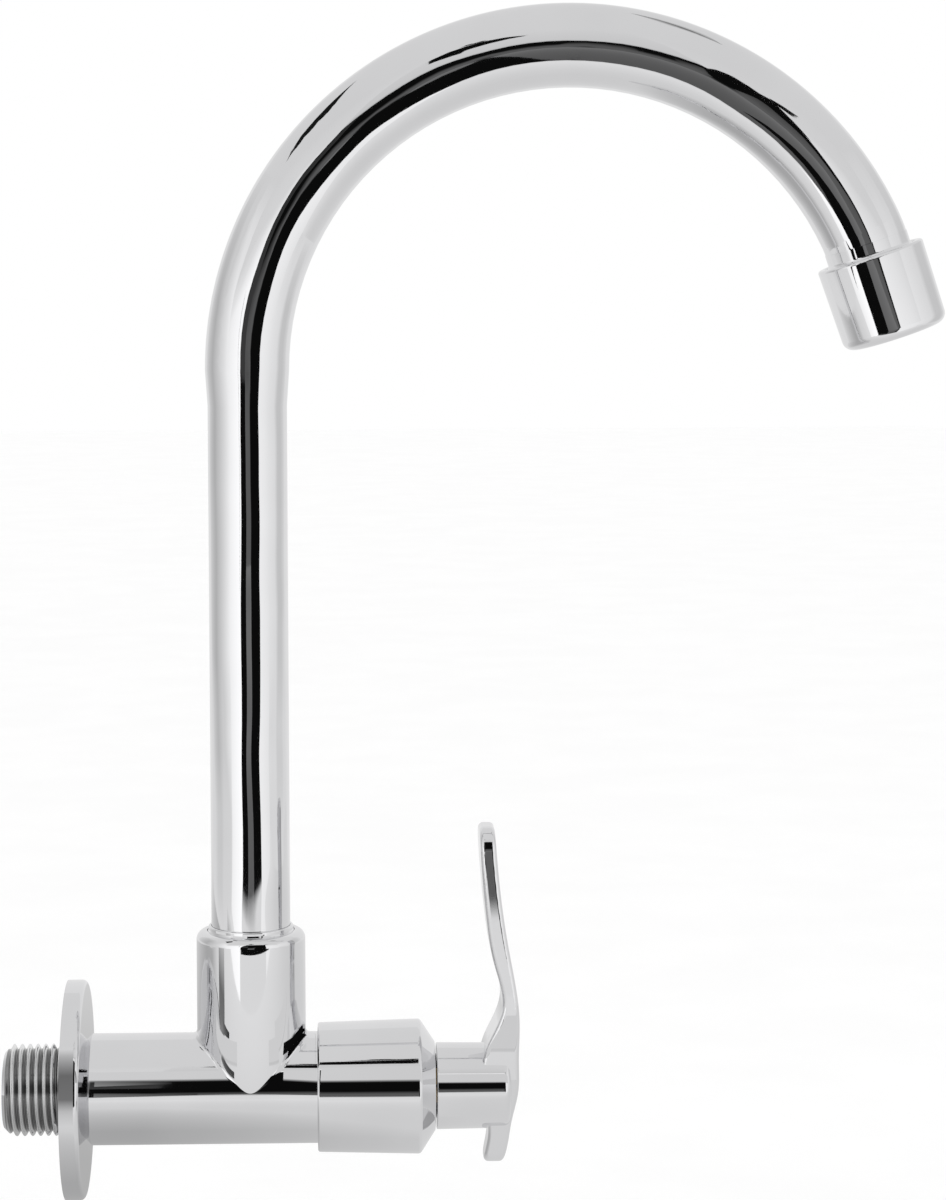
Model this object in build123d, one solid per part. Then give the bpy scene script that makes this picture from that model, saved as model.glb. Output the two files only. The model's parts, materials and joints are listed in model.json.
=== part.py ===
from build123d import *
from math import cos, radians, sin, sqrt, tan
import os

os.makedirs("parts", exist_ok=True)

# A wall-mounted tap for cold water, in millimetres. The origin is on the axis of the barrel, in the
# plane of the wall. X runs out of the wall along the barrel, Z runs up, and the tap is the same on
# both sides of the XZ plane. The spout stands on the barrel's branch and swivels about Z, the lever
# turns the valve about X, and the wall flange slides on the inlet thread.

# Clearances
solder_gap = 0.05
thread_gap = 0.05
running_gap = 0.05
seal_gap = 0.04
handle_gap = 0.3
flange_gap = 0.35

# Inlet nipple with its G 1/2 pipe thread
thread_r = 20.955 / 2
thread_pitch = 25.4 / 14
thread_depth = 1.162
thread_angle = 27.5
thread_crest = 0.3
inlet_length = 14.4
nipple_lead = 0.7
nipple_insert = 10.0
nipple_bore_r = 5.8
hex_key_width = 12.0
hex_key_depth = 9.0

# Wall flange
flange_r = 25.0
flange_depth = 4.4
flange_wall = 1.4
flange_round = 1.2

# Body: barrel, branch and the ways inside them
barrel_r = 12.7
barrel_chamfer = 1.4
branch_x = 42.6
branch_r = 12.55
branch_height = 19.4
saddle_round = 1.3
body_reach = 19.4
waterway_r = 6.0
chamber_r = 9.4
seat_offset = 9.6
passage_r = 6.5
socket_r = 9.5
socket_depth = 16.0
spigot_r = 10.9
spigot_height = 9.6
spigot_chamfer = 0.6

# Spout joint: collar nut, guide ring, bush and its seals
collar_height = 17.6
collar_top_wall = 4.9
collar_round = 2.0
collar_thread_gap = 0.1
guide_lip_r = 9.75
guide_lip_height = 1.2
guide_step = 0.36
guide_sink = 0.24
guide_r = 10.05
bush_bore_r = 6.2
bush_flange_r = 10.3
bush_flange = 2.0
bush_stub = 8.0
bush_floor_gap = 1.0
seal_width = 1.8
seal_groove_depth = 1.75
seal_inset = 3.2
seal_spacing = 4.6

# Spout: a straight tube, then a drawn arch that is slightly oval and tightens before its end
tube_r = 9.1
tube_wall = 1.2
arch_r = 74.05
arch_height = 166.2
arch_oval = 0.55
oval_length = 8.0
end_bend_r = 25.0
end_bend_lean = 25.0
outlet_lean = 18.5

# Aerator at the spout's end
neck_r = 9.75
neck_height = 3.3
neck_round = 0.9
end_stub = 4.0
end_thread_r = 10.8
end_thread_length = 7.5
shell_r = 12.5
shell_height = 19.7
shell_draft = 0.9
shell_rim = 0.7
shell_round = 2.4
shell_lip = 1.8
shell_lip_width = 1.7
rim_step = 0.4
gasket_thickness = 1.4
gasket_width = 3.0
insert_plate = 1.6
insert_wall = 1.3
jet_pitch = 3.2
grid_recess = 0.5
grid_thickness = 1.5
grid_pitch = 2.3
grid_hole = 1.7
screen_thickness = 0.6
screen_pitch = 1.6
screen_hole_r = 0.5

# Valve headwork, screwed into the front of the barrel by a thread drawn as its pitch cylinder
headwork_thread_r = 19.793 / 2
headwork_thread_length = 12.0
sleeve_gap = 0.8
sleeve_wall = 1.1
seal_thickness = 3.0
seal_stand = 0.8
seal_ring_width = 2.4
window_length = 5.0
window_width = 9.0
body_gasket = 1.0
body_gasket_width = 1.6
headwork_collar = 1.0
headwork_collar_r = 12.1
hex_width = 22.0
hex_length = 5.0
neck_thread_r = 7.95
neck_thread_length = 11.0
neck_land = 6.0

# Ceramic discs
disc_thickness = 3.0
port_inner_r = 2.2
port_outer_r = 6.0
port_angle = 78.0
tongue_width = 3.0
tongue_height = 1.0
tongue_inset = 0.8

# Spindle
spindle_head = 2.0
spindle_waist = 2.3
spindle_waist_r = 3.4
thrust_collar = 1.9
washer_thickness = 0.8
spindle_r = 5.1
stem_r = 4.0
stem_flat = 0.6
spline_length = 12.0
spindle_groove_depth = 1.35
spindle_groove_width = 1.7
spindle_groove_spacing = 5.0
clip_thickness = 1.0
clip_groove = 0.6
clip_r = 6.2
clip_mouth = 6.4

# Bonnet sleeve over the headwork
bonnet_overlap = 4.1
bonnet_gap = 0.5
bonnet_wall = 1.5
bonnet_flare = 0.65
bonnet_length = 23.6
bonnet_nose = 3.5
bonnet_nose_r = 10.05
bonnet_round = 0.5
bonnet_grip = 8.0

# Lever handle: hub, blade and tail, sizes counted from the back of the hub and from the hub's axis
hub_r = 9.9
hub_taper = 0.2
hub_length = 17.0
hub_round = 1.6
hub_recess_r = 7.4
hub_recess = 3.0
lever_front = 18.9
blade_height = 61.0
blade_base_half = 7.25
blade_tip_half = 7.6
blade_corner = 5.0
blade_tip_thickness = 3.7
blade_thickness = 3.8
blade_lean = 5.0
blade_edge = 1.1
nose_height = 16.0
nose_stand = 0.2
gusset_height = 19.5
gusset_thickness = 7.7
tail_drop = 17.4
tail_half = 3.9
tail_corner = 3.0
tail_sweep = 5.4
tail_thickness = 2.9
grub_x = 6.0
grub_r = 2.5
grub_length = 3.6
grub_key = 2.5
plug_thickness = 1.2

# Places that follow from the sizes above, along the barrel
root_r = thread_r - thread_depth
thread_flank = thread_depth * tan(radians(thread_angle))
thread_count = int((inlet_length - nipple_lead) / thread_pitch)
barrel_back = flange_depth
nipple_front = barrel_back + nipple_insert
body_front = branch_x + body_reach
seat_x = branch_x - seat_offset
disc_x = seat_x + seal_thickness
disc_meet_x = disc_x + disc_thickness
head_x = disc_meet_x + disc_thickness
thrust_x = head_x + spindle_head + spindle_waist
washer_x = thrust_x + thrust_collar
ledge_x = washer_x + washer_thickness + running_gap
headwork_thread_x = body_front - headwork_thread_length
headwork_collar_x = body_front + body_gasket
hex_x = headwork_collar_x + headwork_collar
neck_x = hex_x + hex_length
neck_end_x = neck_x + neck_thread_length
clip_x = neck_end_x + running_gap
bonnet_back_x = body_front - bonnet_overlap
bonnet_shoulder_x = bonnet_back_x + bonnet_length
bonnet_front_x = bonnet_shoulder_x + bonnet_nose
hub_x = bonnet_front_x + handle_gap
spindle_end_x = hub_x + spline_length

# Radii of the headwork that follow
sleeve_r = chamber_r - sleeve_gap
sleeve_bore_r = sleeve_r - sleeve_wall
disc_r = sleeve_bore_r - running_gap
gland_r = spindle_r + running_gap
stem_bore_r = stem_r + running_gap

# Radii of the bonnet that follow from the barrel under it
bonnet_bore_r = barrel_r + bonnet_gap
bonnet_back_r = bonnet_bore_r + bonnet_wall
bonnet_front_r = bonnet_back_r + bonnet_flare

# Heights that follow, up the branch
spigot_top = branch_height + spigot_height
socket_floor = spigot_top - socket_depth
bush_r = socket_r - running_gap
bush_low = socket_floor + bush_floor_gap
tube_low = spigot_top + bush_flange
guide_low = tube_low + running_gap
collar_top = branch_height + collar_height
collar_ledge = collar_top - collar_top_wall
collar_bore_r = spigot_r + collar_thread_gap
tube_bore_r = tube_r - tube_wall

# Centres of the arch and of its tighter end, and the middle of the spout's end
arch_x = branch_x + arch_r
end_bend_x = arch_x + (arch_r - end_bend_r) * cos(radians(end_bend_lean))
end_bend_z = arch_height + (arch_r - end_bend_r) * sin(radians(end_bend_lean))
outlet_x = end_bend_x + end_bend_r * cos(radians(outlet_lean))
outlet_z = end_bend_z + end_bend_r * sin(radians(outlet_lean))

# Places that follow at the outlet, counted down the aerator's own axis from the spout's end
thread_top = neck_height
shell_top = neck_height - rim_step
thread_end = thread_top + end_thread_length
gasket_end = thread_end + gasket_thickness
shell_end = shell_top + shell_height
lip_inside = shell_end - shell_lip
shell_bore_r = end_thread_r + thread_gap
outlet_r = shell_bore_r - shell_lip_width
insert_bore_r = outlet_r - running_gap - insert_wall


def turned(outline, rounds=()):
    """A solid of revolution about Z from (radius, height) pairs, with some corners rounded."""
    flat = make_face(Polyline(*outline, close=True))
    for corner, radius in rounds:
        near = flat.vertices().sort_by_distance(Vector(*outline[corner]))[0]
        flat = fillet(near, radius)
    return revolve(Plane.XZ * flat, Axis.Z)


def along_barrel(shape):
    """Lay what was turned about Z along X."""
    return Rotation(0, 90, 0) * shape


def on_branch(shape):
    """Stand what was turned about Z on the axis of the branch."""
    return Pos(branch_x, 0, 0) * shape


def at_outlet(shape):
    """Put what was turned about Z on the aerator's axis, with Z pointing the way the water falls."""
    return Pos(outlet_x, 0, outlet_z) * Rotation(0, 180 - outlet_lean, 0) * shape


def tube(outer, inner, low, high):
    """A plain ring or tube about Z."""
    return turned([(inner, low), (outer, low), (outer, high), (inner, high)])


def hexagon(width, low, high):
    """A hexagonal bar about Z, given by its width across flats."""
    flat = RegularPolygon(width / sqrt(3), 6)
    return Pos(0, 0, low) * extrude(flat, high - low)


def seal_pair(bore, groove, first, spacing):
    """Two round-section rings about Z that fill their grooves."""
    section = (bore - groove) / 2 - seal_gap
    centre = (bore + groove) / 2
    low = Pos(0, 0, first) * Torus(centre, section)
    high = Pos(0, 0, first + spacing) * Torus(centre, section)
    return [low, high]


def two_ports(low, high, turn):
    """The pair of opposite sectors through which the discs pass water."""
    half = port_angle / 2
    ports = []
    for start in (turn - half, turn + 180 - half):
        ring = tube(port_outer_r, port_inner_r, low, high)
        reach = 2 * port_outer_r
        corner = [
            (reach * cos(radians(start + step)), reach * sin(radians(start + step)))
            for step in (0, half, port_angle)
        ]
        wedge = extrude(make_face(Polyline((0, 0), *corner, close=True)), high - low)
        ports.append(ring & Pos(0, 0, low) * wedge)
    return ports[0] + ports[1]


def grid_holes(pitch, edge, shape, low, high):
    """Copies of a hole on a square grid, as far out as the edge allows."""
    reach = int(edge / pitch)
    steps = [pitch * n for n in range(-reach, reach + 1)]
    places = [(x, y) for x in steps for y in steps if sqrt(x * x + y * y) <= edge]
    cut = extrude(shape, high - low)
    return [Pos(x, y, low) * cut for x, y in places]


def inlet_nipple():
    """Threaded end that screws into the wall fitting, with a key socket in its mouth."""
    mouth = -inlet_length
    outline = [(nipple_bore_r, mouth), (root_r - nipple_lead, mouth), (root_r, mouth + nipple_lead)]
    for n in range(thread_count):
        start = mouth + nipple_lead + n * thread_pitch
        outline.append((root_r, start + 0.01 * thread_pitch))
        outline.append((thread_r, start + thread_flank))
        outline.append((thread_r, start + thread_flank + thread_crest))
        outline.append((root_r, start + 2 * thread_flank + thread_crest))
    outline += [(root_r, nipple_front), (nipple_bore_r, nipple_front)]
    nipple = turned(outline) - hexagon(hex_key_width, mouth, mouth + hex_key_depth)
    return along_barrel(nipple)


def wall_flange():
    """Pressed cover plate, open at the back."""
    hole = thread_r + flange_gap
    inside = flange_r - flange_wall
    back = flange_depth - flange_wall
    outline = [
        (hole, back),
        (inside, back),
        (inside, 0),
        (flange_r, 0),
        (flange_r, flange_depth),
        (hole, flange_depth),
    ]
    return along_barrel(turned(outline, [(4, flange_round)]))


def tap_body():
    """Barrel and branch in one piece, with the waterway, the valve chamber and the spout's socket."""
    barrel = turned(
        [
            (0, barrel_back),
            (barrel_r - barrel_chamfer, barrel_back),
            (barrel_r, barrel_back + barrel_chamfer),
            (barrel_r, body_front),
            (0, body_front),
        ]
    )
    spigot = turned(
        [
            (0, 0),
            (branch_r, 0),
            (branch_r, branch_height),
            (spigot_r, branch_height),
            (spigot_r, spigot_top - spigot_chamfer),
            (spigot_r - spigot_chamfer, spigot_top),
            (0, spigot_top),
        ]
    )
    nipple_hole = tube(root_r + solder_gap, 0, barrel_back, nipple_front + solder_gap)
    waterway = tube(waterway_r, 0, barrel_back, seat_x)
    chamber = tube(chamber_r, 0, seat_x, headwork_thread_x)
    threads = tube(headwork_thread_r + thread_gap, 0, headwork_thread_x, body_front)
    passage = tube(passage_r, 0, 0, socket_floor)
    socket = tube(socket_r, 0, socket_floor, spigot_top)
    barrel = along_barrel(barrel)
    spigot = on_branch(spigot + Sphere(branch_r))
    body = barrel + spigot
    body = body.fillet(saddle_round, new_edges(barrel, spigot, combined=body))
    body -= along_barrel(nipple_hole + waterway + chamber + threads)
    return body - on_branch(passage + socket)


def spout_collar():
    """Nut that holds the spout down, screwed on the spigot."""
    hole = guide_r + running_gap
    outline = [
        (collar_bore_r, branch_height),
        (branch_r, branch_height),
        (branch_r, collar_top),
        (hole, collar_top),
        (hole, collar_ledge),
        (collar_bore_r, collar_ledge),
    ]
    return on_branch(turned(outline, [(2, collar_round)]))


def spout_guide_ring():
    """Ring that guides the tube, held down by the collar and lipped above it."""
    inside = tube_r + running_gap
    flange = min(bush_flange_r + 2 * solder_gap, collar_bore_r - solder_gap)
    outline = [
        (inside, guide_low),
        (flange, guide_low),
        (flange, collar_ledge - solder_gap),
        (guide_r, collar_ledge - solder_gap),
        (guide_r, collar_top - guide_sink),
        (guide_lip_r, collar_top + guide_step),
        (guide_lip_r, collar_top + guide_lip_height),
        (inside, collar_top + guide_lip_height),
    ]
    return on_branch(turned(outline, [(6, 0.3)]))


def spout_bush():
    """Turned end of the spout: the part in the socket carries the seals, the flange bears on the spigot."""
    groove = bush_r - seal_groove_depth
    half = seal_width / 2
    outline = [(bush_bore_r, bush_low), (bush_r, bush_low)]
    for centre in (bush_low + seal_inset, bush_low + seal_inset + seal_spacing):
        outline += [(bush_r, centre - half), (groove, centre - half)]
        outline += [(groove, centre + half), (bush_r, centre + half)]
    stub = tube_bore_r - solder_gap
    outline += [
        (bush_r, spigot_top),
        (bush_flange_r, spigot_top),
        (bush_flange_r, tube_low),
        (stub, tube_low),
        (stub, tube_low + bush_stub),
        (bush_bore_r, tube_low + bush_stub),
    ]
    return on_branch(turned(outline))


def spout_seals():
    """The two rings that keep the swivel joint tight."""
    rings = seal_pair(socket_r, bush_r - seal_groove_depth, bush_low + seal_inset, seal_spacing)
    return Compound(children=[on_branch(ring) for ring in rings])


def spout_run(inset):
    """The spout's outline, full or taken in by the wall, from the bush to the arch's end."""
    straight_top = arch_height - oval_length
    round_r = tube_r - inset
    oval_r = tube_r + arch_oval - inset
    straight = Pos(branch_x, 0, tube_low) * extrude(Circle(round_r), straight_top - tube_low)
    low_ring = Pos(branch_x, 0, straight_top) * Circle(round_r)
    high_ring = Pos(branch_x, 0, arch_height) * Ellipse(oval_r, round_r)
    change = loft([low_ring, high_ring])
    arch_axis = Axis((arch_x, 0, arch_height), (0, 1, 0))
    arch = revolve(high_ring, arch_axis, 180 - end_bend_lean)
    last_ring = high_ring.rotate(arch_axis, 180 - end_bend_lean)
    end_axis = Axis((end_bend_x, 0, end_bend_z), (0, 1, 0))
    end_bend = revolve(last_ring, end_axis, end_bend_lean - outlet_lean)
    return straight + change + arch + end_bend


def spout_tube():
    """Bent tube from the swivel joint to the aerator."""
    return spout_run(0) - spout_run(tube_wall)


def spout_end_adaptor():
    """Ring brazed on the end of the tube, with the neck that shows and the aerator's thread."""
    stub = tube_bore_r - solder_gap
    bore = stub - tube_wall
    outline = [
        (bore, -end_stub),
        (stub, -end_stub),
        (stub, 0),
        (neck_r, 0),
        (neck_r, thread_top),
        (end_thread_r, thread_top),
        (end_thread_r, thread_end),
        (bore, thread_end),
    ]
    return at_outlet(turned(outline, [(4, neck_round)]))


def aerator_shell():
    """Drawn-in housing that screws up on the adaptor."""
    end_r = shell_r - shell_height * tan(radians(shell_draft))
    outline = [
        (shell_bore_r, shell_top),
        (shell_r, shell_top),
        (end_r, shell_end),
        (outlet_r, shell_end),
        (outlet_r, lip_inside),
        (shell_bore_r, lip_inside),
    ]
    return at_outlet(turned(outline, [(0, 0.3), (1, shell_rim), (2, shell_round), (3, 0.3)]))


def aerator_gasket():
    """Flat ring between the adaptor and the insert."""
    outside = shell_bore_r - solder_gap
    return at_outlet(tube(outside, outside - gasket_width, thread_end, gasket_end))


def aerator_insert():
    """Moulded cup that mixes air into the water, with a perforated plate at its top."""
    outside = shell_bore_r - solder_gap
    spout_r = outlet_r - running_gap
    outline = [
        (0, gasket_end),
        (outside, gasket_end),
        (outside, lip_inside),
        (spout_r, lip_inside),
        (spout_r, shell_end - rim_step),
        (insert_bore_r, shell_end - rim_step),
        (insert_bore_r, gasket_end + insert_plate),
        (0, gasket_end + insert_plate),
    ]
    cup = turned(outline)
    edge = insert_bore_r - 2 * screen_hole_r
    plate_end = gasket_end + insert_plate
    for jet in grid_holes(jet_pitch, edge, Circle(screen_hole_r), gasket_end, plate_end):
        cup -= jet
    return at_outlet(cup)


def aerator_grid():
    """Fine grid at the mouth that straightens the stream."""
    high = shell_end - rim_step - grid_recess
    low = high - grid_thickness
    grid = tube(insert_bore_r - solder_gap, 0, low, high)
    edge = insert_bore_r - grid_hole
    for hole in grid_holes(grid_pitch, edge, Rectangle(grid_hole, grid_hole), low, high):
        grid -= hole
    return at_outlet(grid)


def filter_screen():
    """Perforated disc above the insert that catches grit."""
    edge_r = shell_bore_r - solder_gap - gasket_width - running_gap
    low = gasket_end - screen_thickness
    screen = tube(edge_r, 0, low, gasket_end)
    edge = edge_r - 2 * screen_hole_r
    for hole in grid_holes(screen_pitch, edge, Circle(screen_hole_r), low, gasket_end):
        screen -= hole
    return at_outlet(screen)


def headwork_housing():
    """Brass housing of the valve, with side windows for the water and a hexagon to tighten it."""
    outline = [
        (sleeve_bore_r, seat_x + seal_stand),
        (sleeve_r, seat_x + seal_stand),
        (sleeve_r, headwork_thread_x),
        (headwork_thread_r, headwork_thread_x),
        (headwork_thread_r, headwork_collar_x),
        (headwork_collar_r, headwork_collar_x),
        (headwork_collar_r, hex_x),
        (neck_thread_r, hex_x),
        (neck_thread_r, neck_end_x),
        (stem_bore_r, neck_end_x),
        (stem_bore_r, neck_end_x - neck_land),
        (gland_r, neck_end_x - neck_land),
        (gland_r, ledge_x),
        (sleeve_bore_r, ledge_x),
    ]
    nut = hexagon(hex_width, hex_x, neck_x) - tube(neck_thread_r, 0, hex_x, neck_x)
    window = Pos(0, 0, head_x + window_length / 2) * Box(4 * chamber_r, window_width, window_length)
    return along_barrel(turned(outline) + nut - window)


def headwork_gasket():
    """Flat ring between the headwork's collar and the end of the barrel."""
    inside = headwork_thread_r + thread_gap
    return along_barrel(tube(inside + body_gasket_width, inside, body_front, headwork_collar_x))


def seat_seal():
    """Rubber ring that seals the fixed disc against its seat."""
    return along_barrel(tube(disc_r, disc_r - seal_ring_width, seat_x, disc_x))


def fixed_disc():
    """Ceramic disc that stays still, with its two ports above and below the axis."""
    disc = tube(disc_r, 0, disc_x, disc_meet_x)
    return along_barrel(disc - two_ports(disc_x, disc_meet_x, 0))


def moving_disc():
    """Ceramic disc that the spindle turns. It shuts the ports in the lever's upright place."""
    disc = tube(disc_r, 0, disc_meet_x, head_x) - two_ports(disc_meet_x, head_x, 90)
    slot = Box(2 * disc_r, tongue_width + 2 * running_gap, tongue_height)
    return along_barrel(disc - Pos(0, 0, head_x - tongue_height / 2) * slot)


def spindle():
    """Turned stem from the disc to the lever, with grooves for the seals and the clip."""
    groove = spindle_r - spindle_groove_depth
    half = spindle_groove_width / 2
    outline = [
        (0, head_x),
        (disc_r, head_x),
        (disc_r, head_x + spindle_head),
        (spindle_waist_r, head_x + spindle_head),
        (spindle_waist_r, thrust_x),
        (disc_r, thrust_x),
        (disc_r, washer_x),
        (spindle_r, washer_x),
    ]
    for centre in spindle_groove_centres():
        outline += [(spindle_r, centre - half), (groove, centre - half)]
        outline += [(groove, centre + half), (spindle_r, centre + half)]
    shoulder = neck_end_x - neck_land - running_gap
    outline += [
        (spindle_r, shoulder),
        (stem_r, shoulder),
        (stem_r, clip_x),
        (stem_r - clip_groove, clip_x),
        (stem_r - clip_groove, clip_x + clip_thickness + running_gap),
        (stem_r, clip_x + clip_thickness + running_gap),
        (stem_r, spindle_end_x),
        (0, spindle_end_x),
    ]
    stem = turned(outline) - two_ports(head_x, head_x + spindle_head, 90)
    tongue_low = head_x - tongue_height + running_gap
    tongue = Pos(0, 0, (tongue_low + head_x) / 2) * Box(2 * disc_r, tongue_width, head_x - tongue_low)
    tongue &= tube(disc_r - tongue_inset, 0, tongue_low, head_x)
    flat = Pos(stem_r, 0, spindle_end_x - spline_length / 2) * Box(
        2 * stem_flat, 2 * stem_r, spline_length
    )
    return along_barrel(stem + tongue - flat)


def spindle_groove_centres():
    """Where the spindle's two seal grooves lie."""
    middle = (ledge_x + neck_end_x - neck_land) / 2
    return [middle - spindle_groove_spacing / 2, middle + spindle_groove_spacing / 2]


def spindle_seals():
    """The two rings that keep the spindle tight in the housing."""
    first, second = spindle_groove_centres()
    rings = seal_pair(gland_r, spindle_r - spindle_groove_depth, first, second - first)
    return Compound(children=[along_barrel(ring) for ring in rings])


def thrust_washer():
    """Slippery washer between the spindle's collar and the housing."""
    return along_barrel(tube(disc_r, spindle_r + running_gap, washer_x, washer_x + washer_thickness))


def spindle_clip():
    """Open spring ring that keeps the spindle in the housing."""
    low = clip_x
    high = clip_x + clip_thickness
    ring = tube(clip_r, stem_r - clip_groove + running_gap, low, high)
    mouth = Pos(clip_r, 0, (low + high) / 2) * Box(2 * clip_r, clip_mouth, 2 * clip_thickness)
    return along_barrel(ring - mouth)


def bonnet_sleeve():
    """Smooth flared cover over the headwork, screwed on the headwork's neck."""
    bore = neck_thread_r + thread_gap
    web = bonnet_front_x - bonnet_grip
    outline = [
        (bonnet_bore_r, bonnet_back_x),
        (bonnet_back_r, bonnet_back_x),
        (bonnet_front_r, bonnet_shoulder_x),
        (bonnet_nose_r, bonnet_front_x),
        (bore, bonnet_front_x),
        (bore, web),
        (bonnet_bore_r, web),
    ]
    rounds = [(1, bonnet_round), (2, 2 * bonnet_round), (3, 0.2)]
    return along_barrel(turned(outline, rounds))


def lever_side():
    """The lever seen from the side, bowed and thicker at the hub, run past the lever at both ends."""
    front = hub_x + lever_front
    over = blade_height + 2 * blade_corner
    under = -tail_drop - tail_corner
    tip_front = front - blade_lean
    tip_back = tip_front - blade_tip_thickness
    tail_back = front - tail_sweep - tail_thickness
    fore = Spline(
        (front - tail_sweep, under),
        (front - 0.5 * tail_sweep, -0.8 * tail_drop),
        (front - 0.3 * tail_sweep, -0.42 * tail_drop),
        (front - 0.5 * nose_stand, 0),
        (front, 0.44 * nose_height),
        (front + nose_stand, nose_height),
        (front - 0.44 * blade_lean, 0.54 * blade_height),
        (tip_front, 0.92 * blade_height),
        (tip_front - 0.1 * blade_lean, over),
    )
    rear = Spline(
        (tip_back - 0.02 * blade_lean, over),
        (tip_back, 0.92 * blade_height),
        (tip_back + 0.29 * blade_lean, 0.64 * blade_height),
        (tip_back + 0.6 * blade_lean, 0.49 * blade_height),
        (front - blade_thickness, gusset_height),
        (front - 0.66 * gusset_thickness, 0.79 * gusset_height),
        (front - gusset_thickness, hub_r),
        (front - 1.1 * gusset_thickness, 0),
        (front - 0.92 * gusset_thickness, -1.1 * hub_r),
        (tail_back + 0.1 * tail_thickness, -0.92 * tail_drop),
        (tail_back, under),
    )
    top = Line(fore @ 1, rear @ 0)
    low = Line(rear @ 1, fore @ 0)
    return make_face(fore + top + rear + low)


def lever_front_view():
    """The lever seen from the front: a blade that is a little wider at the tip than at the hub."""
    half = [
        (tail_half, -tail_drop),
        (blade_base_half, 0.3 * hub_r),
        (blade_tip_half, blade_height),
    ]
    mirrored = [(-y, z) for y, z in reversed(half)]
    flat = make_face(Polyline(*half, *mirrored, close=True))
    tips = flat.vertices().sort_by(Axis.Y)
    flat = fillet(tips[-2:], blade_corner)
    tails = flat.vertices().sort_by(Axis.Y)
    return fillet(tails[:2], tail_corner)


def lever_handle():
    """Hub, blade and tail in one casting, with a bore for the spindle and a hole for its screw."""
    side = extrude(Plane.XZ * lever_side(), 2 * blade_tip_half, both=True)
    front = Pos(hub_x, 0, 0) * extrude(Plane.YZ * lever_front_view(), 2 * lever_front, both=True)
    blade = side & front
    blade = fillet(blade.edges(), blade_edge)
    hub = turned(
        [
            (0, hub_x),
            (hub_r, hub_x),
            (hub_r - hub_taper, hub_x + hub_length),
            (0, hub_x + hub_length),
        ],
        [(1, 0.3), (2, hub_round)],
    )
    recess = tube(hub_recess_r, 0, hub_x, hub_x + hub_recess)
    bore = tube(stem_r + solder_gap, 0, hub_x, spindle_end_x + solder_gap)
    screw_hole = Pos(hub_x + grub_x, 0, 0) * tube(grub_r, 0, -1.2 * hub_r, 0)
    return along_barrel(hub) + blade - along_barrel(recess + bore) - screw_hole


def grub_screw():
    """Socket set screw that clamps the lever on the spindle's flat."""
    top = stem_flat - stem_r - solder_gap
    radius = grub_r - solder_gap
    screw = tube(radius, 0, top - grub_length, top)
    key = hexagon(grub_key, top - grub_length, top - 0.4 * grub_length)
    return Pos(hub_x + grub_x, 0, 0) * (screw - key)


def grub_plug():
    """Small cap over the set screw."""
    top = stem_flat - stem_r - 2 * solder_gap - grub_length
    plug = tube(grub_r - solder_gap, 0, top - plug_thickness, top)
    return Pos(hub_x + grub_x, 0, 0) * plug


parts = {
    "inlet_nipple": inlet_nipple(),
    "wall_flange": wall_flange(),
    "tap_body": tap_body(),
    "spout_collar": spout_collar(),
    "spout_guide_ring": spout_guide_ring(),
    "spout_bush": spout_bush(),
    "spout_seals": spout_seals(),
    "spout_tube": spout_tube(),
    "spout_end_adaptor": spout_end_adaptor(),
    "aerator_shell": aerator_shell(),
    "aerator_gasket": aerator_gasket(),
    "aerator_insert": aerator_insert(),
    "aerator_grid": aerator_grid(),
    "filter_screen": filter_screen(),
    "headwork_housing": headwork_housing(),
    "headwork_gasket": headwork_gasket(),
    "seat_seal": seat_seal(),
    "fixed_disc": fixed_disc(),
    "moving_disc": moving_disc(),
    "spindle": spindle(),
    "spindle_seals": spindle_seals(),
    "thrust_washer": thrust_washer(),
    "spindle_clip": spindle_clip(),
    "bonnet_sleeve": bonnet_sleeve(),
    "lever_handle": lever_handle(),
    "grub_screw": grub_screw(),
    "grub_plug": grub_plug(),
}

for node, shape in parts.items():
    export_step(shape, f"parts/{node}.step")
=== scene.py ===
# Looks of a wall-mounted chrome tap, built round its fixed frame. Lengths are in metres, apart from
# those of the studio's cards.
import json
import math

import bmesh
import bpy
from mathutils import Matrix, Vector


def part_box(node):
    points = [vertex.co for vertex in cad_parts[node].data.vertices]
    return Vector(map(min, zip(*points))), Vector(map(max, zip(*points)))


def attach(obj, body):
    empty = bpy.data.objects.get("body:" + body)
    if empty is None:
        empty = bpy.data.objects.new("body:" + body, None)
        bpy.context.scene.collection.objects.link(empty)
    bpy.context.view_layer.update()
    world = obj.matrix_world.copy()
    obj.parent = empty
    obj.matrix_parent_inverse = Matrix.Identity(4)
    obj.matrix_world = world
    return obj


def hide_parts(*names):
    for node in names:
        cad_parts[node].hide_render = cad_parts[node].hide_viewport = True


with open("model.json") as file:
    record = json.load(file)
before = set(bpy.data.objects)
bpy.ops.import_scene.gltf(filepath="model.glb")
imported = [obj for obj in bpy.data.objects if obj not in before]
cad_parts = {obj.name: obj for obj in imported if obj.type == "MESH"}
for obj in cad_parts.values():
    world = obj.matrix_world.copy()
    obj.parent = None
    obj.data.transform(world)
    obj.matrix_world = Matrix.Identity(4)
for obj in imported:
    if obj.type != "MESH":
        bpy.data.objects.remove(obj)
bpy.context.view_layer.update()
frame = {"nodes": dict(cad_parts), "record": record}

MM = 0.001

# The camera, that sees the tap from its side
CAMERA_PLACE = Vector((0.064, -0.720, 0.190))
CAMERA_YAW = math.radians(1.321)
CAMERA_PITCH = math.radians(2.809)
CAMERA_ROLL = math.radians(-0.252)
CAMERA_LENS = 94.20
CAMERA_SHIFT = (0.05, -0.15)
CAMERA_REACH = (0.01, 50)

# The floor, well below the tap
FLOOR_HEIGHT = -0.16
FLOOR_SIZE = 12.0

# A noise lies mostly between the first two values, and mixes two colours between the other two
NOISE_LOW, NOISE_HIGH = 0.3, 0.7
TINT_LOW, TINT_HIGH = 0.35, 0.65

# Patches of colour are this many grains wide on the plain materials
PATCH_GRAINS = 6

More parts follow.
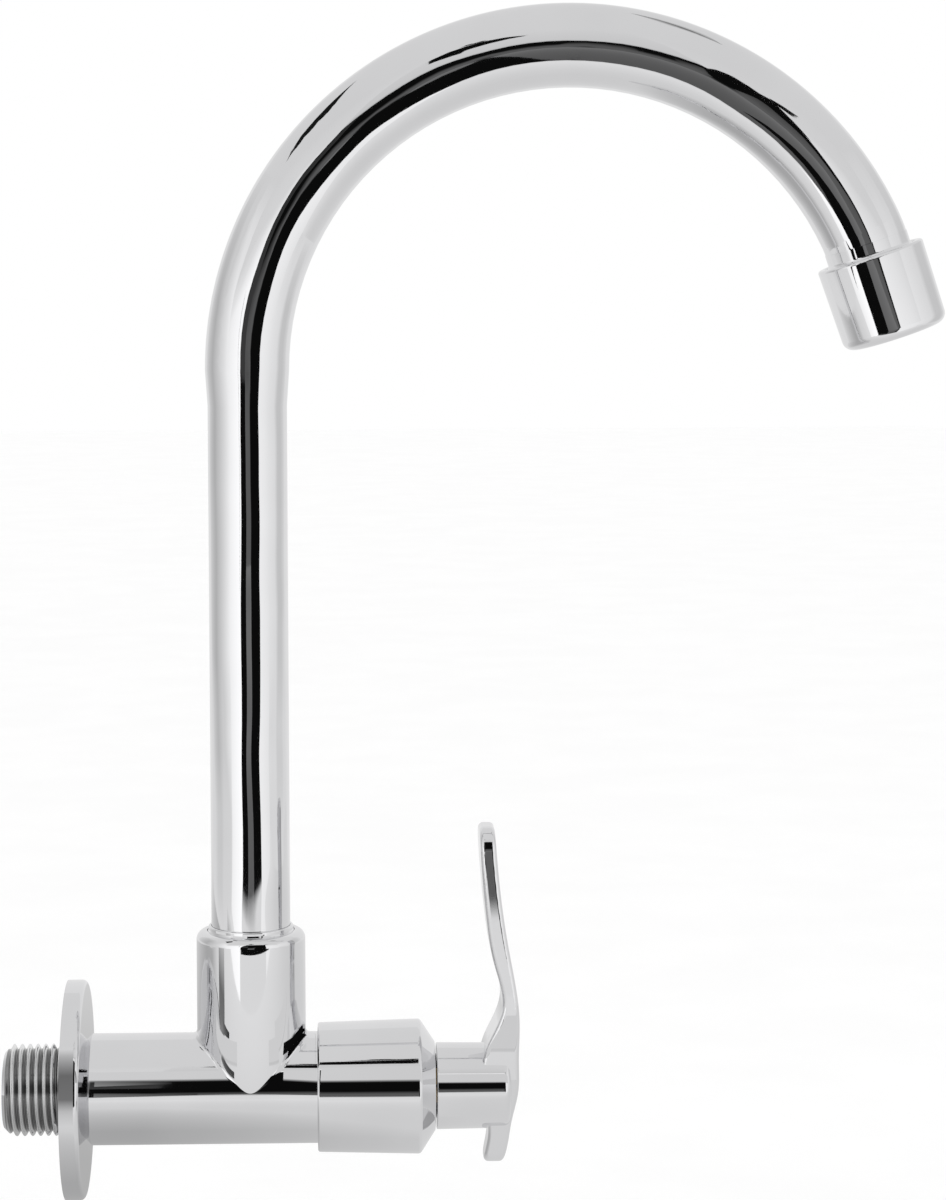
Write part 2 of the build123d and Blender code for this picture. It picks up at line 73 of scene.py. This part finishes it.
# Polished chrome plate
CHROME_DULL = (0.79, 0.79, 0.80)
CHROME_BRIGHT = (0.81, 0.81, 0.82)
CHROME_ROUGHNESS = (0.02, 0.05)
CHROME_PATCH = 0.02
CHROME_MARK = 0.0015

# Chrome plate on the thread, with painted shade that makes it dark in the grooves, and bright above a
# share of the thread's depth
GROOVE_PAINTED_SHADE = (0.3, 0.3, 0.3)
CREST_COLOR = (0.84, 0.84, 0.84)
BRIGHT_ABOVE = 0.6
THREAD_ROUGHNESS = (0.04, 0.12)
THREAD_MARK = 0.0008

# The inlet's thread and the key's socket in it, as the frame has them
PITCH = 0.0254 / 14
THREAD_RADIUS = 0.020955 / 2
THREAD_DEPTH = 0.001162
ROOT_RADIUS = THREAD_RADIUS - THREAD_DEPTH
FLANK_ANGLE = math.radians(27.5)
FLANK_WIDTH = THREAD_DEPTH * math.tan(FLANK_ANGLE)
CREST_WIDTH = 0.0003
CREST_ROUNDING = 0.00008
THREAD_LEAD = 0.0007
THREAD_FADE = PITCH / 1.6
THREAD_TURNS = 7
NIPPLE_BORE = 0.0058
KEY_WIDTH = 0.012
KEY_DEPTH = 0.009
TURN_STEPS = 144
PITCH_STEPS = 24
MERGE_DISTANCE = 1e-6
SHARP_ANGLE = math.radians(38)


def new_material(name):
    """A node material with only its output and one Principled shader."""
    material = bpy.data.materials.new(name)
    material.use_nodes = True
    tree = material.node_tree
    tree.nodes.clear()
    output = tree.nodes.new("ShaderNodeOutputMaterial")
    shader = tree.nodes.new("ShaderNodeBsdfPrincipled")
    tree.links.new(shader.outputs["BSDF"], output.inputs["Surface"])
    return material, tree, shader


def place_texture(tree, scale=(1, 1, 1)):
    """Coordinates on the piece itself, in metres, stretched by a scale."""
    coordinates = tree.nodes.new("ShaderNodeTexCoord")
    mapping = tree.nodes.new("ShaderNodeMapping")
    mapping.inputs["Scale"].default_value = scale
    tree.links.new(coordinates.outputs["Object"], mapping.inputs["Vector"])
    return mapping


def noise(tree, size, detail=2.0):
    """A noise whose spots are about one size in metres."""
    mapping = place_texture(tree)
    node = tree.nodes.new("ShaderNodeTexNoise")
    node.inputs["Scale"].default_value = 1.0 / size
    node.inputs["Detail"].default_value = detail
    tree.links.new(mapping.outputs["Vector"], node.inputs["Vector"])
    return node.outputs["Fac"]


def spread(tree, value, low, high):
    """Map a noise from its middle range to between two values."""
    node = tree.nodes.new("ShaderNodeMapRange")
    node.inputs["From Min"].default_value = NOISE_LOW
    node.inputs["From Max"].default_value = NOISE_HIGH
    node.inputs["To Min"].default_value = low
    node.inputs["To Max"].default_value = high
    tree.links.new(value, node.inputs["Value"])
    return node.outputs["Result"]


def tint(tree, value, low, high):
    """Mix two colours by a value between 0 and 1, in its middle range."""
    node = tree.nodes.new("ShaderNodeValToRGB")
    node.color_ramp.elements[0].position = TINT_LOW
    node.color_ramp.elements[0].color = (*low, 1)
    node.color_ramp.elements[1].position = TINT_HIGH
    node.color_ramp.elements[1].color = (*high, 1)
    tree.links.new(value, node.inputs["Fac"])
    return node.outputs["Color"]


def bump(tree, height, depth):
    """Raise the surface by a height of up to a depth in metres."""
    node = tree.nodes.new("ShaderNodeBump")
    node.inputs["Strength"].default_value = 1.0
    node.inputs["Distance"].default_value = depth
    tree.links.new(height, node.inputs["Height"])
    return node.outputs["Normal"]


def chrome(name, wave_size, wave_depth):
    """Polished chrome plate: waves left by forming and polishing, and fine marks that blur it a little."""
    material, tree, shader = new_material(name)
    shader.inputs["Metallic"].default_value = 1.0
    color = tint(tree, noise(tree, CHROME_PATCH), CHROME_DULL, CHROME_BRIGHT)
    tree.links.new(color, shader.inputs["Base Color"])
    marks = noise(tree, CHROME_MARK, detail=4.0)
    tree.links.new(spread(tree, marks, *CHROME_ROUGHNESS), shader.inputs["Roughness"])
    waves = noise(tree, wave_size, detail=0.0)
    tree.links.new(bump(tree, waves, wave_depth), shader.inputs["Normal"])
    return material


def thread_chrome():
    """Chrome plate on a cut thread, with painted shade that darkens it towards the grooves' roots, duller
    than on the outside.
    """
    material, tree, shader = new_material("chrome_on_thread_painted_groove_shade")
    shader.inputs["Metallic"].default_value = 1.0
    off_axis = place_texture(tree, scale=(0, 1, 1))
    radius = tree.nodes.new("ShaderNodeVectorMath")
    radius.operation = "LENGTH"
    tree.links.new(off_axis.outputs["Vector"], radius.inputs[0])
    height = tree.nodes.new("ShaderNodeMapRange")
    height.inputs["From Min"].default_value = ROOT_RADIUS
    height.inputs["From Max"].default_value = ROOT_RADIUS + BRIGHT_ABOVE * THREAD_DEPTH
    tree.links.new(radius.outputs["Value"], height.inputs["Value"])
    # Painted shade: the colour darkens with depth into the grooves, and the bore and socket inside get the
    # darkest shade
    color = tint(tree, height.outputs["Result"], GROOVE_PAINTED_SHADE, CREST_COLOR)
    tree.links.new(color, shader.inputs["Base Color"])
    marks = noise(tree, THREAD_MARK, detail=3.0)
    tree.links.new(spread(tree, marks, *THREAD_ROUGHNESS), shader.inputs["Roughness"])
    return material


def plain(name, low, high, metallic, rough, grain, depth):
    """A material with a small change of colour and a fine grain."""
    material, tree, shader = new_material(name)
    shader.inputs["Metallic"].default_value = metallic
    color = tint(tree, noise(tree, PATCH_GRAINS * grain), low, high)
    tree.links.new(color, shader.inputs["Base Color"])
    texture = noise(tree, grain, detail=3.0)
    tree.links.new(spread(tree, texture, *rough), shader.inputs["Roughness"])
    tree.links.new(bump(tree, texture, depth), shader.inputs["Normal"])
    return material


def brass():
    """Turned brass without plating."""
    low, high = (0.72, 0.53, 0.26), (0.80, 0.62, 0.34)
    return plain("turned_brass", low, high, metallic=1.0, rough=(0.22, 0.38), grain=4e-4, depth=4e-6)


def rubber():
    """Black rubber of the seals."""
    low, high = (0.02, 0.02, 0.02), (0.04, 0.04, 0.04)
    return plain("black_rubber", low, high, metallic=0.0, rough=(0.5, 0.7), grain=5e-4, depth=1e-5)


def ceramic():
    """Lapped white ceramic of the valve's discs."""
    low, high = (0.86, 0.86, 0.82), (0.92, 0.92, 0.89)
    return plain("white_ceramic", low, high, metallic=0.0, rough=(0.1, 0.2), grain=5e-4, depth=1e-6)


def plastic():
    """Grey moulded plastic."""
    low, high = (0.68, 0.69, 0.70), (0.75, 0.76, 0.77)
    return plain("grey_acetal", low, high, metallic=0.0, rough=(0.35, 0.5), grain=5e-4, depth=5e-6)


def steel():
    """Fine matt stainless steel."""
    low, high = (0.55, 0.55, 0.55), (0.64, 0.64, 0.64)
    return plain("stainless", low, high, metallic=1.0, rough=(0.25, 0.4), grain=3e-4, depth=3e-6)


def pale_paint():
    """Matt white paint of the floor."""
    low, high = (0.985, 0.985, 0.985), (1, 1, 1)
    return plain("pale_floor", low, high, metallic=0.0, rough=(0.8, 0.9), grain=0.01, depth=1e-4)


def flank(along):
    """Share of the thread's depth at a place along one pitch, the crest at its middle."""
    off = abs(along % PITCH - PITCH / 2) - CREST_WIDTH / 2
    return min(max(1 - off / FLANK_WIDTH, 0), 1)


def thread_radius(along, faded):
    """Radius of the thread with its crest and root a little rounded, faded out at both ends."""
    places = [along + step * CREST_ROUNDING for step in (-2, -1, 0, 1, 2)]
    share = sum(flank(place) for place in places) / len(places)
    return ROOT_RADIUS + THREAD_DEPTH * share * min(max(faded, 0), 1)


def turn_point(x, radius, angle):
    """Point round the barrel's axis."""
    return (x, radius * math.cos(angle), radius * math.sin(angle))


def join_rows(mesh, rows, closed=True):
    """Faces between rows of points."""
    for lower, upper in zip(rows, rows[1:]):
        count = len(lower)
        for step in range(count if closed else count - 1):
            after = (step + 1) % count
            mesh.faces.new((lower[step], lower[after], upper[after], upper[step]))


def thread_sheet(mesh, start, end):
    """The thread as rows of points that follow its right-hand helix, cut square at both ends."""
    rows = []
    for row in range((THREAD_TURNS + 2) * PITCH_STEPS + 1):
        points = []
        for step in range(TURN_STEPS + 1):
            along = PITCH * (row / PITCH_STEPS - 1)
            x = min(max(start + along + PITCH * step / TURN_STEPS, start), end)
            faded = min(x - start, end - x) / THREAD_FADE
            angle = 2 * math.pi * step / TURN_STEPS
            points.append(mesh.verts.new(turn_point(x, thread_radius(along, faded), angle)))
        rows.append(points)
    join_rows(mesh, rows, closed=False)


def nipple_walls(mesh, mouth, start, end, front):
    """The plain walls of the nipple: its neck, bore, hexagon socket and chamfered mouth."""
    angles = [2 * math.pi * step / TURN_STEPS for step in range(TURN_STEPS)]
    root = [ROOT_RADIUS] * TURN_STEPS
    bore = [NIPPLE_BORE] * TURN_STEPS
    lead = [ROOT_RADIUS - THREAD_LEAD] * TURN_STEPS
    key = [KEY_WIDTH / 2 / math.cos(angle % (math.pi / 3) - math.pi / 6) for angle in angles]
    bottom = mouth + KEY_DEPTH

    def ring(x, radii):
        return [mesh.verts.new(turn_point(x, radius, angle)) for radius, angle in zip(radii, angles)]

    join_rows(mesh, [ring(end, root), ring(front, root), ring(front, bore), ring(bottom, bore),
                     ring(bottom, key), ring(mouth, key), ring(mouth, lead), ring(start, root)])


def threaded_nipple(thread_chrome_and_painted_shade, finish):
    """The inlet nipple with one true helix in place of the frame's separate ridges."""
    low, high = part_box("inlet_nipple")
    mouth, front = low[0], high[0]
    start = mouth + THREAD_LEAD
    end = start + THREAD_TURNS * PITCH
    mesh = bmesh.new()
    thread_sheet(mesh, start, end)
    nipple_walls(mesh, mouth, start, end, front)
    bmesh.ops.remove_doubles(mesh, verts=mesh.verts, dist=MERGE_DISTANCE)
    bmesh.ops.dissolve_degenerate(mesh, edges=mesh.edges, dist=MERGE_DISTANCE)
    bmesh.ops.recalc_face_normals(mesh, faces=mesh.faces)
    data = bpy.data.meshes.new("inlet_thread")
    mesh.to_mesh(data)
    mesh.free()
    data.shade_smooth()
    data.set_sharp_from_angle(angle=SHARP_ANGLE)
    # The first material has painted shade in the grooves, bore and socket; the chamfered mouth gets plain
    # chrome
    data.materials.append(thread_chrome_and_painted_shade)
    data.materials.append(finish)
    for face in data.polygons:
        face.material_index = int(face.center.x < start)
    piece = bpy.data.objects.new("inlet_thread", data)
    bpy.context.scene.collection.objects.link(piece)
    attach(piece, "body")
    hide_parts("inlet_nipple")


def dress():
    """Give every node its finish."""
    finishes = {
        "chrome": chrome("chrome_plate", wave_size=0.012, wave_depth=2.5e-5),
        "brass": brass(),
        "rubber": rubber(),
        "ceramic": ceramic(),
        "plastic": plastic(),
        "steel": steel(),
    }
    bent = chrome("chrome_on_bent_tube", wave_size=0.018, wave_depth=6e-4)
    # Chrome for the thread, with painted shade in its grooves
    thread = thread_chrome()
    special = {"spout_tube": bent, "inlet_nipple": thread}
    slots = {row["node"]: row["material_slot"] for row in frame["record"]["subparts"]}
    for node, obj in frame["nodes"].items():
        obj.data.materials.clear()
        obj.data.materials.append(special.get(node, finishes[slots[node]]))
    return thread, finishes["chrome"]


def camera():
    """A long lens from the tap's side, a little turned and tilted, the rest by shifting the lens."""
    level_part = math.cos(CAMERA_PITCH)
    forward = Vector((
        math.sin(CAMERA_YAW) * level_part,
        math.cos(CAMERA_YAW) * level_part,
        -math.sin(CAMERA_PITCH),
    ))
    flat = Vector((math.cos(CAMERA_YAW), -math.sin(CAMERA_YAW), 0))
    steep = flat.cross(forward)
    right = math.cos(CAMERA_ROLL) * flat + math.sin(CAMERA_ROLL) * steep
    up = math.cos(CAMERA_ROLL) * steep - math.sin(CAMERA_ROLL) * flat
    data = bpy.data.cameras.new("camera")
    data.lens = CAMERA_LENS
    data.shift_x, data.shift_y = CAMERA_SHIFT
    data.clip_start, data.clip_end = CAMERA_REACH
    obj = bpy.data.objects.new("camera", data)
    turn = Matrix((right, up, -forward)).transposed().to_4x4()
    obj.matrix_world = Matrix.Translation(CAMERA_PLACE) @ turn
    bpy.context.scene.collection.objects.link(obj)
    bpy.context.scene.camera = obj


def white_world():
    """An even white room all round, which the camera and the metal see as pure white."""
    world = bpy.data.worlds.new("white_room")
    world.use_nodes = True
    background = world.node_tree.nodes["Background"]
    background.inputs["Color"].default_value = (1, 1, 1, 1)
    background.inputs["Strength"].default_value = 1.0
    bpy.context.scene.world = world


def floor():
    """A plain pale floor."""
    mesh = bpy.data.meshes.new("floor")
    half = FLOOR_SIZE / 2
    corners = [(-half, -half), (half, -half), (half, half), (-half, half)]
    mesh.from_pydata([(x, y, FLOOR_HEIGHT) for x, y in corners], [], [(0, 1, 2, 3)])
    obj = bpy.data.objects.new("floor", mesh)
    bpy.context.scene.collection.objects.link(obj)
    mesh.materials.append(pale_paint())


# The studio, in millimetres: a tent of pale cards round the tap, and a hole in its front wall
TENT_LEFT, TENT_RIGHT = -330, 560
TENT_FRONT, TENT_BACK = -280, 450
TENT_LOW, TENT_HIGH = -45, 470
HOLE_LEFT, HOLE_RIGHT = -66, 224
HOLE_HIGH = 290
HOLE_TOP_LEFT, HOLE_TOP_RIGHT = 0, 200

# The middle part of the table, between its dark left, where the tap's shadow is painted, and its paler
# right
TABLE_LEFT, TABLE_RIGHT = 15, 95

# The dark room, seen through the hole, with a paler wall and floor far off and flaps before them
ROOM_BACK, ROOM_SIDE = -3100, 6000
ROOM_FLOOR, ROOM_LOW, ROOM_HIGH = -155, -4000, 3000
PALE_BACK, PALE_FLOOR = -3000, -150
PALE_LEFT, PALE_RIGHT = -1700, 450
FLAP_PLACE, FLAP_LEFT, FLAP_RIGHT = -600, -900, -12
FLAP_MIDDLE, FLAP_HIGH = 150, 420

# Cards on the tent's walls lie this much inside them
INSIDE = 1

# Planes of the cards close before the tap
NEAR_BARREL = -16
NEAR_BONNET = -19
NEAR_BAND = -25
NEAR_COLLAR = -28
NEAR_FLANGE = -32

# Shades of the cards, which are the light that they give
BLACK = (0.004,) * 4
TOP_SHADE = 0.76
BACK_SHADE = 0.8
LOW_SHADE = 0.82
WALL_SHADE = 0.84
OVER_SHADE = 0.74
EDGE_SHADE = 0.3


def card_light():
    """Light whose shade and cover come from the corners of each card."""
    material = bpy.data.materials.new("card_light")
    material.use_nodes = True
    nodes, links = material.node_tree.nodes, material.node_tree.links
    nodes.clear()
    shade = nodes.new("ShaderNodeAttribute")
    shade.attribute_name = "shade"
    glow = nodes.new("ShaderNodeEmission")
    clear = nodes.new("ShaderNodeBsdfTransparent")
    mix = nodes.new("ShaderNodeMixShader")
    output = nodes.new("ShaderNodeOutputMaterial")
    links.new(shade.outputs["Color"], glow.inputs["Color"])
    links.new(shade.outputs["Alpha"], mix.inputs["Fac"])
    links.new(clear.outputs["BSDF"], mix.inputs[1])
    links.new(glow.outputs["Emission"], mix.inputs[2])
    links.new(mix.outputs["Shader"], output.inputs["Surface"])
    return material


def card(name, light, corners, shades, cover=(1, 1, 1, 1)):
    """A card that only the tap's reflections show, with a shade and a cover for each corner."""
    mesh = bpy.data.meshes.new(name)
    mesh.from_pydata([Vector(corner) * MM for corner in corners], [], [(0, 1, 2, 3)])
    values = mesh.color_attributes.new(name="shade", type="FLOAT_COLOR", domain="CORNER")
    for value, shade, alpha in zip(values.data, shades, cover):
        value.color = (shade, shade, shade, alpha)
    mesh.materials.append(light)
    obj = bpy.data.objects.new(name, mesh)
    bpy.context.scene.collection.objects.link(obj)
    obj.visible_camera = False
    obj.visible_diffuse = False
    obj.visible_transmission = False
    obj.visible_shadow = False


def across(y, *points):
    """Corners of a card across the view, from points of width and height."""
    return [(x, y, z) for x, z in points]


def upright(y, left, right, low, high):
    """Corners of a square card across the view."""
    return across(y, (left, low), (right, low), (right, high), (left, high))


def beside(x, near, far, low, high):
    """Corners of a card along the view."""
    return [(x, near, low), (x, far, low), (x, far, high), (x, near, high)]


def level(z, left, right, near, far):
    """Corners of a card that lies flat."""
    return [(left, near, z), (right, near, z), (right, far, z), (left, far, z)]


def strip(name, light, rows):
    """Cards of the front wall, through rows of height, left, right, left shade and right shade."""
    for number, (lower, upper) in enumerate(zip(rows, rows[1:])):
        low, left, right, left_shade, right_shade = lower
        high, high_left, high_right, high_left_shade, high_right_shade = upper
        corners = across(TENT_FRONT, (left, low), (right, low), (high_right, high), (high_left, high))
        shades = (left_shade, right_shade, high_right_shade, high_left_shade)
        card(f"{name}_{number}", light, corners, shades)


def tent_front(light):
    """The tent's front wall, left and right of the hole and over it."""
    strip("front_left", light, (
        (TENT_LOW, TENT_LEFT, HOLE_LEFT, 1.05, 1.25),
        (130, TENT_LEFT, -55, 1.05, 1.25),
        (210, TENT_LEFT, -33, 1.0, 1.2),
        (HOLE_HIGH, TENT_LEFT, HOLE_TOP_LEFT, 0.8, 0.8),
        (TENT_HIGH, TENT_LEFT, HOLE_TOP_LEFT, TOP_SHADE, TOP_SHADE),
    ))
    strip("front_right", light, (
        (TENT_LOW, HOLE_RIGHT, TENT_RIGHT, 1.04, 0.94),
        (150, HOLE_RIGHT, TENT_RIGHT, 1.04, 0.94),
        (260, 232, TENT_RIGHT, 0.85, 0.85),
        (HOLE_HIGH, HOLE_TOP_RIGHT, TENT_RIGHT, 0.78, 0.78),
        (TENT_HIGH, HOLE_TOP_RIGHT, TENT_RIGHT, TOP_SHADE, TOP_SHADE),
    ))
    strip("front_top", light, (
        (HOLE_HIGH, HOLE_TOP_LEFT, HOLE_TOP_RIGHT, 0.5, 0.5),
        (HOLE_HIGH + 14, HOLE_TOP_LEFT, HOLE_TOP_RIGHT, 0.7, 0.7),
        (TENT_HIGH, HOLE_TOP_LEFT, HOLE_TOP_RIGHT, TOP_SHADE, TOP_SHADE),
    ))


def hole_sill(light):
    """The wall under the hole, with a soft upper edge that falls to the right."""
    left_top, right_top = -16, -24
    left_end, right_end = -8, -17
    shades = (WALL_SHADE,) * 4
    wall = across(TENT_FRONT, (HOLE_LEFT, TENT_LOW), (HOLE_RIGHT, TENT_LOW),
                  (HOLE_RIGHT, right_top), (HOLE_LEFT, left_top))
    card("front_low", light, wall, shades)
    edge = across(TENT_FRONT, (HOLE_LEFT, left_top), (HOLE_RIGHT, right_top),
                  (HOLE_RIGHT, right_end), (HOLE_LEFT, left_end))
    card("front_low_edge", light, edge, shades, cover=(1, 1, 0, 0))


def tent_side(side, light, x, columns):
    """One side wall, through columns of depth and shade, duller at its foot and top."""
    heights = (TENT_LOW, 50, 230, TENT_HIGH)
    for (near, near_shade), (far, far_shade) in zip(columns, columns[1:]):
        near_shades = (LOW_SHADE, near_shade, near_shade, TOP_SHADE)
        far_shades = (LOW_SHADE, far_shade, far_shade, TOP_SHADE)
        for row in range(len(heights) - 1):
            corners = beside(x, near, far, heights[row], heights[row + 1])
            shades = (near_shades[row], far_shades[row], far_shades[row + 1], near_shades[row + 1])
            card(f"wall_{side}_{far}_{row}", light, corners, shades)


def tent_sides(light):
    """The tent's side walls, that darken from the front and get lighter again at the back."""
    left = ((TENT_FRONT, 1.05), (-60, 0.72), (100, 0.52), (TENT_BACK, BACK_SHADE))
    tent_side("left", light, TENT_LEFT, left)
    right = ((TENT_FRONT, 0.94), (-45, 0.86), (60, 0.66), (190, 0.65), (TENT_BACK, BACK_SHADE))
    tent_side("right", light, TENT_RIGHT, right)


def tent_top_and_back(light):
    """Ceiling and back wall."""
    top = level(TENT_HIGH, TENT_LEFT, TENT_RIGHT, TENT_FRONT, TENT_BACK)
    card("ceiling", light, top, (TOP_SHADE, TOP_SHADE, 0.78, 0.78))
    back = upright(TENT_BACK, TENT_LEFT, TENT_RIGHT, TENT_LOW, TENT_HIGH)
    card("back", light, back, (WALL_SHADE,) * 4)


def tent_table(light):
    """The table, through rows of depth, left shade and right shade, darkest under the tap's left, where a
    painted shadow of the tap lies.
    """
    rows = (
        (TENT_FRONT, 0.88, 0.88),
        # The rows near the tap and under it are darker, most of all on the left: a painted shadow of the
        # tap
        (-100, 0.76, 0.76),
        (-15, 0.46, 0.73),
        (100, 0.46, 0.73),
        (TENT_BACK, BACK_SHADE, BACK_SHADE),
    )
    for (near, near_left, near_right), (far, far_left, far_right) in zip(rows, rows[1:]):
        for side, left, right, shades in (
            ("left", TENT_LEFT, TABLE_LEFT, (near_left, near_left, far_left, far_left)),
            ("middle", TABLE_LEFT, TABLE_RIGHT, (near_left, near_right, far_right, far_left)),
            ("right", TABLE_RIGHT, TENT_RIGHT, (near_right, near_right, far_right, far_right)),
        ):
            card(f"table_{side}_{far}", light, level(TENT_LOW, left, right, near, far), shades)


def dark_room(light):
    """The room behind the camera: black, with a paler wall and floor in the middle, far off."""
    near, middle, far = 0.1, 0.2, 0.11
    wall_low, wall_split, wall_top = -2500, 60, 320
    fade_start, fade_end = 400, 500
    card("room", light, upright(ROOM_BACK, -ROOM_SIDE, ROOM_SIDE, ROOM_LOW, ROOM_HIGH), BLACK)
    ground = level(ROOM_FLOOR, -ROOM_SIDE, ROOM_SIDE, ROOM_BACK, TENT_FRONT - 5)
    card("room_floor", light, ground, BLACK)
    wall = upright(PALE_BACK, PALE_LEFT, fade_start, wall_low, wall_split)
    card("room_pale", light, wall, (middle, middle, far, far))
    wall_edge = upright(PALE_BACK, fade_start, fade_end, wall_low, wall_split)
    card("room_pale_edge", light, wall_edge, (middle, middle, far, far), cover=(1, 0, 0, 1))
    wall_end = upright(PALE_BACK, PALE_LEFT, PALE_RIGHT, wall_split, wall_top)
    card("room_pale_top", light, wall_end, (far, far, 0, 0))
    patch = across(PALE_BACK + 10, (290, wall_split), (fade_end, wall_split), (640, 600), (400, 520))
    card("room_pale_high", light, patch, (far, far, 0.06, 0.01))
    front = TENT_FRONT - 10
    outline = ((PALE_LEFT, PALE_BACK), (470, PALE_BACK), (152, front), (-300, front))
    pale_floor = [(x, y, PALE_FLOOR) for x, y in outline]
    card("room_floor_pale", light, pale_floor, (middle, middle, near, near))


def dark_flaps(light):
    """Dark flaps left of the view, that keep the pale wall from the left of the tap."""
    low = upright(FLAP_PLACE, FLAP_LEFT, FLAP_RIGHT, ROOM_FLOOR, FLAP_MIDDLE)
    card("flap_left", light, low, BLACK)
    high = upright(FLAP_PLACE, FLAP_LEFT, FLAP_RIGHT, FLAP_MIDDLE, FLAP_HIGH)
    card("flap_left_high", light, high, (0.05, 0.05, 0.02, 0.02))
    outer, inner = (-77, TENT_FRONT), (-26, -160)
    wing_low, wing_high = 90, 200
    wing = [(*outer, wing_low), (*inner, wing_low), (*inner, wing_high), (*outer, wing_high)]
    card("flap_wing", light, wing, BLACK)


def joint_line(light):
    """Bar on the ceiling, that darkens the thin line where the bonnet starts."""
    card("bar_joint", light, level(TENT_HIGH - INSIDE, 46, 56, -275, -256), BLACK)


def arch_line(light):
    """Bar high on the front wall, pointed at both ends, for the thin lines on the arch and the barrel."""
    y, z = TENT_FRONT + INSIDE, TENT_HIGH - INSIDE
    card("bar_high", light, across(y, (28, 372), (68, 362), (68, z), (28, 450)), BLACK)
    card("bar_start", light, across(y, (10, 414), (28, 372), (28, 450), (10, 420)), BLACK)
    card("bar_end", light, across(y, (68, 385), (101, 404), (101, 410), (68, z)), BLACK)
    card("bar_ceiling", light, [(40, y, z), (68, y, z), (68, -258, z), (40, -272, z)], BLACK)


def arch_wedge(light):
    """A wedge at the hole's upper right corner, for the dark spike on the falling side of the arch."""
    y = TENT_FRONT + INSIDE
    card("spike", light, across(y, (200, 280), (236, 256), (262, 333), (228, 308)), BLACK)
    card("spike_tail", light, across(y, (245, 310), (276, 323), (328, 373), (262, 336)), BLACK)


def lens(name, light, start, end, width, shade, soft=False):
    """A dark card on the ceiling, pointed at both ends, and faded to its edges where it is soft."""
    start, end = Vector(start), Vector(end)
    middle = (start + end) / 2
    cover = (0.5, 0, 0.5, 1) if soft else (1, 1, 1, 1)
    for side in (-1, 1):
        aside = (end - start).orthogonal().normalized() * side * width / 2
        corners = [(*point, TENT_HIGH - INSIDE) for point in (start, middle + aside, end, middle)]
        card(f"{name}_{side}", light, corners, (shade,) * 4, cover)


def ceiling_lenses(light):
    """Lenses on the ceiling, for the thin lines along the arch's outside."""
    lens("lens_left", light, (-280, -115), (-95, 92), width=90, shade=0.01)
    lens("lens_right", light, (186, 92), (290, 38), width=80, shade=0.02, soft=True)


def over_bands(light):
    """Pale cards before the barrel and the bonnet, whose soft lower edges end the dark band."""
    for name, y, left, right, left_low, right_low, high, fade in (
        ("barrel", NEAR_BARREL, 5, 37.5, 7.9, 7.9, 12.6, 1.2),
        ("joint", NEAR_BARREL, 50, 58.2, 7.6, 6.7, 12.6, 1.1),
        ("bonnet", NEAR_BONNET, 58.2, 125, 7.7, 7.2, 15, 1.1),
    ):
        lower = (left, left_low), (right, right_low)
        corners = across(y, *lower, (right, high), (left, high))
        card(f"over_{name}", light, corners, (OVER_SHADE,) * 4)
        edge = across(y, (left, left_low - fade), (right, right_low - fade), *reversed(lower))
        shades = (EDGE_SHADE, EDGE_SHADE, OVER_SHADE, OVER_SHADE)
        card(f"over_{name}_fade", light, edge, shades, cover=(0, 0, 1, 1))


def barrel_streaks(light):
    """Two grey streaks in the barrel's dark band, next to the flange."""
    upper = across(NEAR_BAND, (6, 8.2), (24, 9.5), (24, 11), (6, 12))
    card("band_upper", light, upper, (0.3, 0.02, 0.02, 0.2))
    lower = across(NEAR_BAND, (6, 1), (30, 1), (30, 2.6), (6, 3.4))
    card("band_lower", light, lower, (0.2, 0.08, 0.03, 0.1))


def saddle_gap_shade(light):
    """Black card in the gap right of the branch, painted shade standing in for the gap's shadow, seen as
    the dark patch in the round of the saddle.
    """
    x = 57.4
    card("saddle_gap_painted_shade", light, [(x, -12.8, 8), (x, 0, 12.8), (x, 0, 14.5), (x, -12.2, 11)], BLACK)


def collar_patch(light):
    """Black card before the collar, for the dark patch under its upper edge."""
    card("collar_patch", light, upright(NEAR_COLLAR, 35, 61, 30.2, 32.6), BLACK)


def by_flange(light):
    """Grey cards before the flange's rim and the thread, through rows of height, shade and cover."""
    left, right = -26, 4.3
    rows = ((-5, 0.6, 0), (0.5, 0.6, 1), (4.6, 0.2, 1), (14, 0.17, 1), (26, 0.55, 1), (32, 0.6, 0))
    for (low, low_shade, low_cover), (high, high_shade, high_cover) in zip(rows, rows[1:]):
        shades = (low_shade, low_shade, high_shade, high_shade)
        cover = (low_cover, low_cover, high_cover, high_cover)
        card(f"by_flange_{high}", light, upright(NEAR_FLANGE, left, right, low, high), shades, cover)


def studio():
    """All the cards that the chrome mirrors."""
    light = card_light()
    for part in (
        tent_front,
        hole_sill,
        tent_sides,
        tent_top_and_back,
        tent_table,
        dark_room,
        dark_flaps,
        joint_line,
        arch_line,
        arch_wedge,
        ceiling_lenses,
        over_bands,
        barrel_streaks,
        saddle_gap_shade,
        collar_patch,
        by_flange,
    ):
        part(light)


bpy.context.scene.view_settings.view_transform = "Standard"
camera()
white_world()
floor()
studio()
threaded_nipple(*dress())
